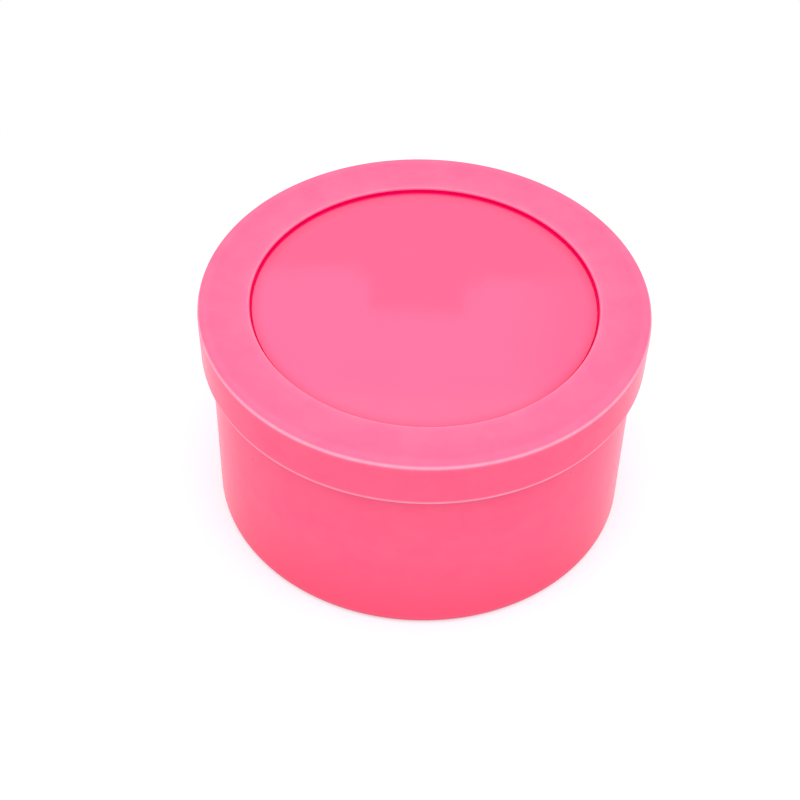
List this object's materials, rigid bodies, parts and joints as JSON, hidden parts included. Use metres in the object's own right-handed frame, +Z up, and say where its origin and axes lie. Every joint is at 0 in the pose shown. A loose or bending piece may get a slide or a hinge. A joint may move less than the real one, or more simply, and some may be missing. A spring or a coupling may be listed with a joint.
{
  "type": "lidded box",
  "caption": "Low round push-fit plastic box: a tapered moulded cup under a skirted lid with a flat rim and a recessed glossy panel.",
  "frame": {"origin": "on the table, at the centre of the cup's foot ring", "axes": "+Z up along the axis that the box is turned about; X and Y are free, since the box is round"},
  "size_m": [0.08, 0.08, 0.0439],
  "materials": {
    "satin_plastic": "satin",
    "gloss_plastic": "gloss"
  },
  "bodies": {
    "cup": {"cup": "satin_plastic"},
    "lid": {"lid_ring": "satin_plastic", "lid_panel": "gloss_plastic"}
  },
  "joints": [
    {"name": "lid_lift", "type": "slide", "parent": "cup", "child": "lid", "axis": [0, 0, 1], "range_m": [0, 0.08]}
  ]
}
